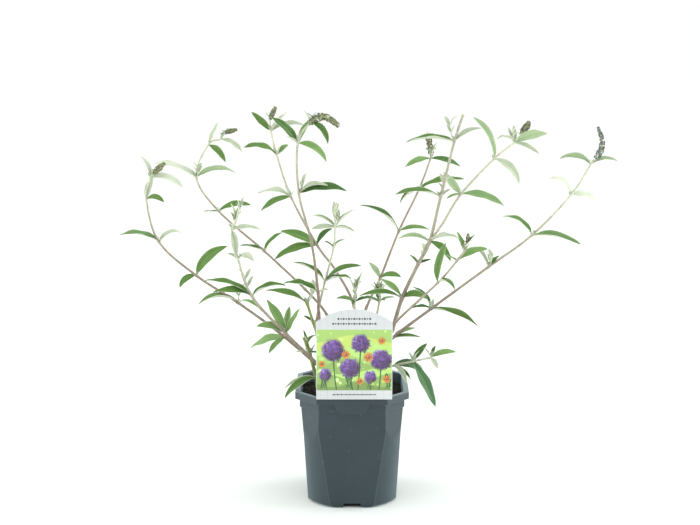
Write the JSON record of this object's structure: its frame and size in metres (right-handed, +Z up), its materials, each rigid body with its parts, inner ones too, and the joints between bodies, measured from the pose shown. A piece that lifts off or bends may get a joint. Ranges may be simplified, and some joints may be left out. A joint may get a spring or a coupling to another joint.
{
  "type": "potted butterfly bush",
  "caption": "Young butterfly bush with arching leafy shoots and bud spikes, standing in a square-shouldered nursery pot with an arched plant card.",
  "frame": {"origin": "middle of the pot's flat underside", "axes": "+Z up; -Y is the front, with the plant card; +X is to the right seen from the front"},
  "size_m": [0.7216, 0.4115, 0.5851],
  "materials": {
    "pot_plastic": "satin",
    "compost": "rough",
    "card_plastic": "satin",
    "stem_bark": "matte",
    "foliage": "matte"
  },
  "bodies": {
    "root": {"pot": "pot_plastic", "compost": "compost", "plant_card": "card_plastic", "woody_foot": "stem_bark", "far_left_bough": "stem_bark", "far_left_leaves": "foliage", "left_inner_bough": "stem_bark", "left_inner_leaves": "foliage", "left_arch_bough": "stem_bark", "left_arch_leaves": "foliage", "tall_left_bough": "stem_bark", "tall_left_leaves": "foliage", "tall_left_front_bough": "stem_bark", "tall_left_front_leaves": "foliage", "centre_thin_bough": "stem_bark", "centre_thin_leaves": "foliage", "centre_right_bough": "stem_bark", "centre_right_leaves": "foliage", "right_cut_bough": "stem_bark", "right_cut_leaves": "foliage", "right_tall_bough": "stem_bark", "right_tall_leaves": "foliage", "right_thin_bough": "stem_bark", "right_thin_leaves": "foliage", "far_right_bough": "stem_bark", "far_right_leaves": "foliage", "low_right_bough": "stem_bark", "low_right_leaves": "foliage", "cut_left_bough": "stem_bark", "cut_left_leaves": "foliage", "cut_stub_bough": "stem_bark", "cut_stub_leaves": "foliage", "short_centre_bough": "stem_bark", "short_centre_leaves": "foliage", "short_right_bough": "stem_bark", "short_right_leaves": "foliage"}
  },
  "joints": []
}
